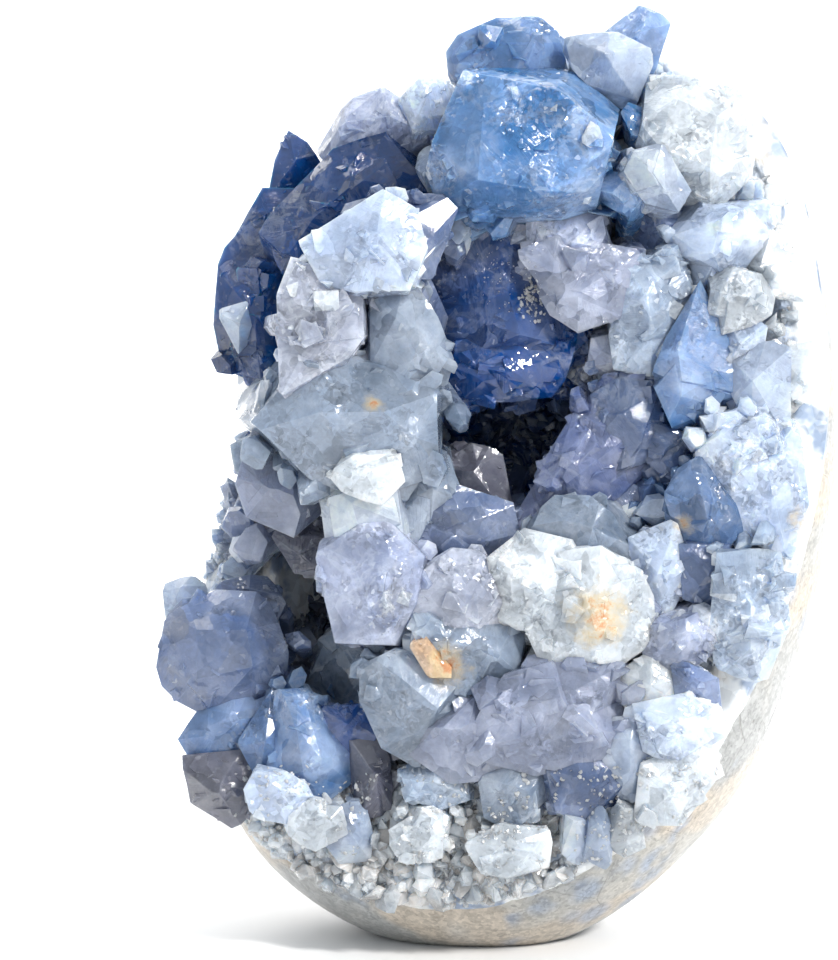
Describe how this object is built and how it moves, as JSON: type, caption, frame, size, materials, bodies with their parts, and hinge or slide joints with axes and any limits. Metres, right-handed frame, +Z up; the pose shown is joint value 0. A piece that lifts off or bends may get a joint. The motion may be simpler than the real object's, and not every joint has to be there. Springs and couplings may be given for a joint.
{
  "type": "celestite geode",
  "caption": "Egg-shaped geode with a polished rock rind, open at the front and filled with pale to deep blue crystals around two dark hollows; stands on a small flat base.",
  "frame": {"origin": "on the flat base, at its middle, on the surface the stone stands on", "axes": "+Z up along the height of the stone, -Y out of the opening, +X to the right as the opening is looked into"},
  "size_m": [0.1074, 0.0779, 0.1488],
  "materials": {
    "rind": "polished, fine-grained, mottled grey and cream",
    "crystal": "clear to cloudy natural crystal faces, some frosted"
  },
  "bodies": {
    "root": {"rock_shell": "rind", "crystal_crust": "crystal"}
  },
  "joints": []
}
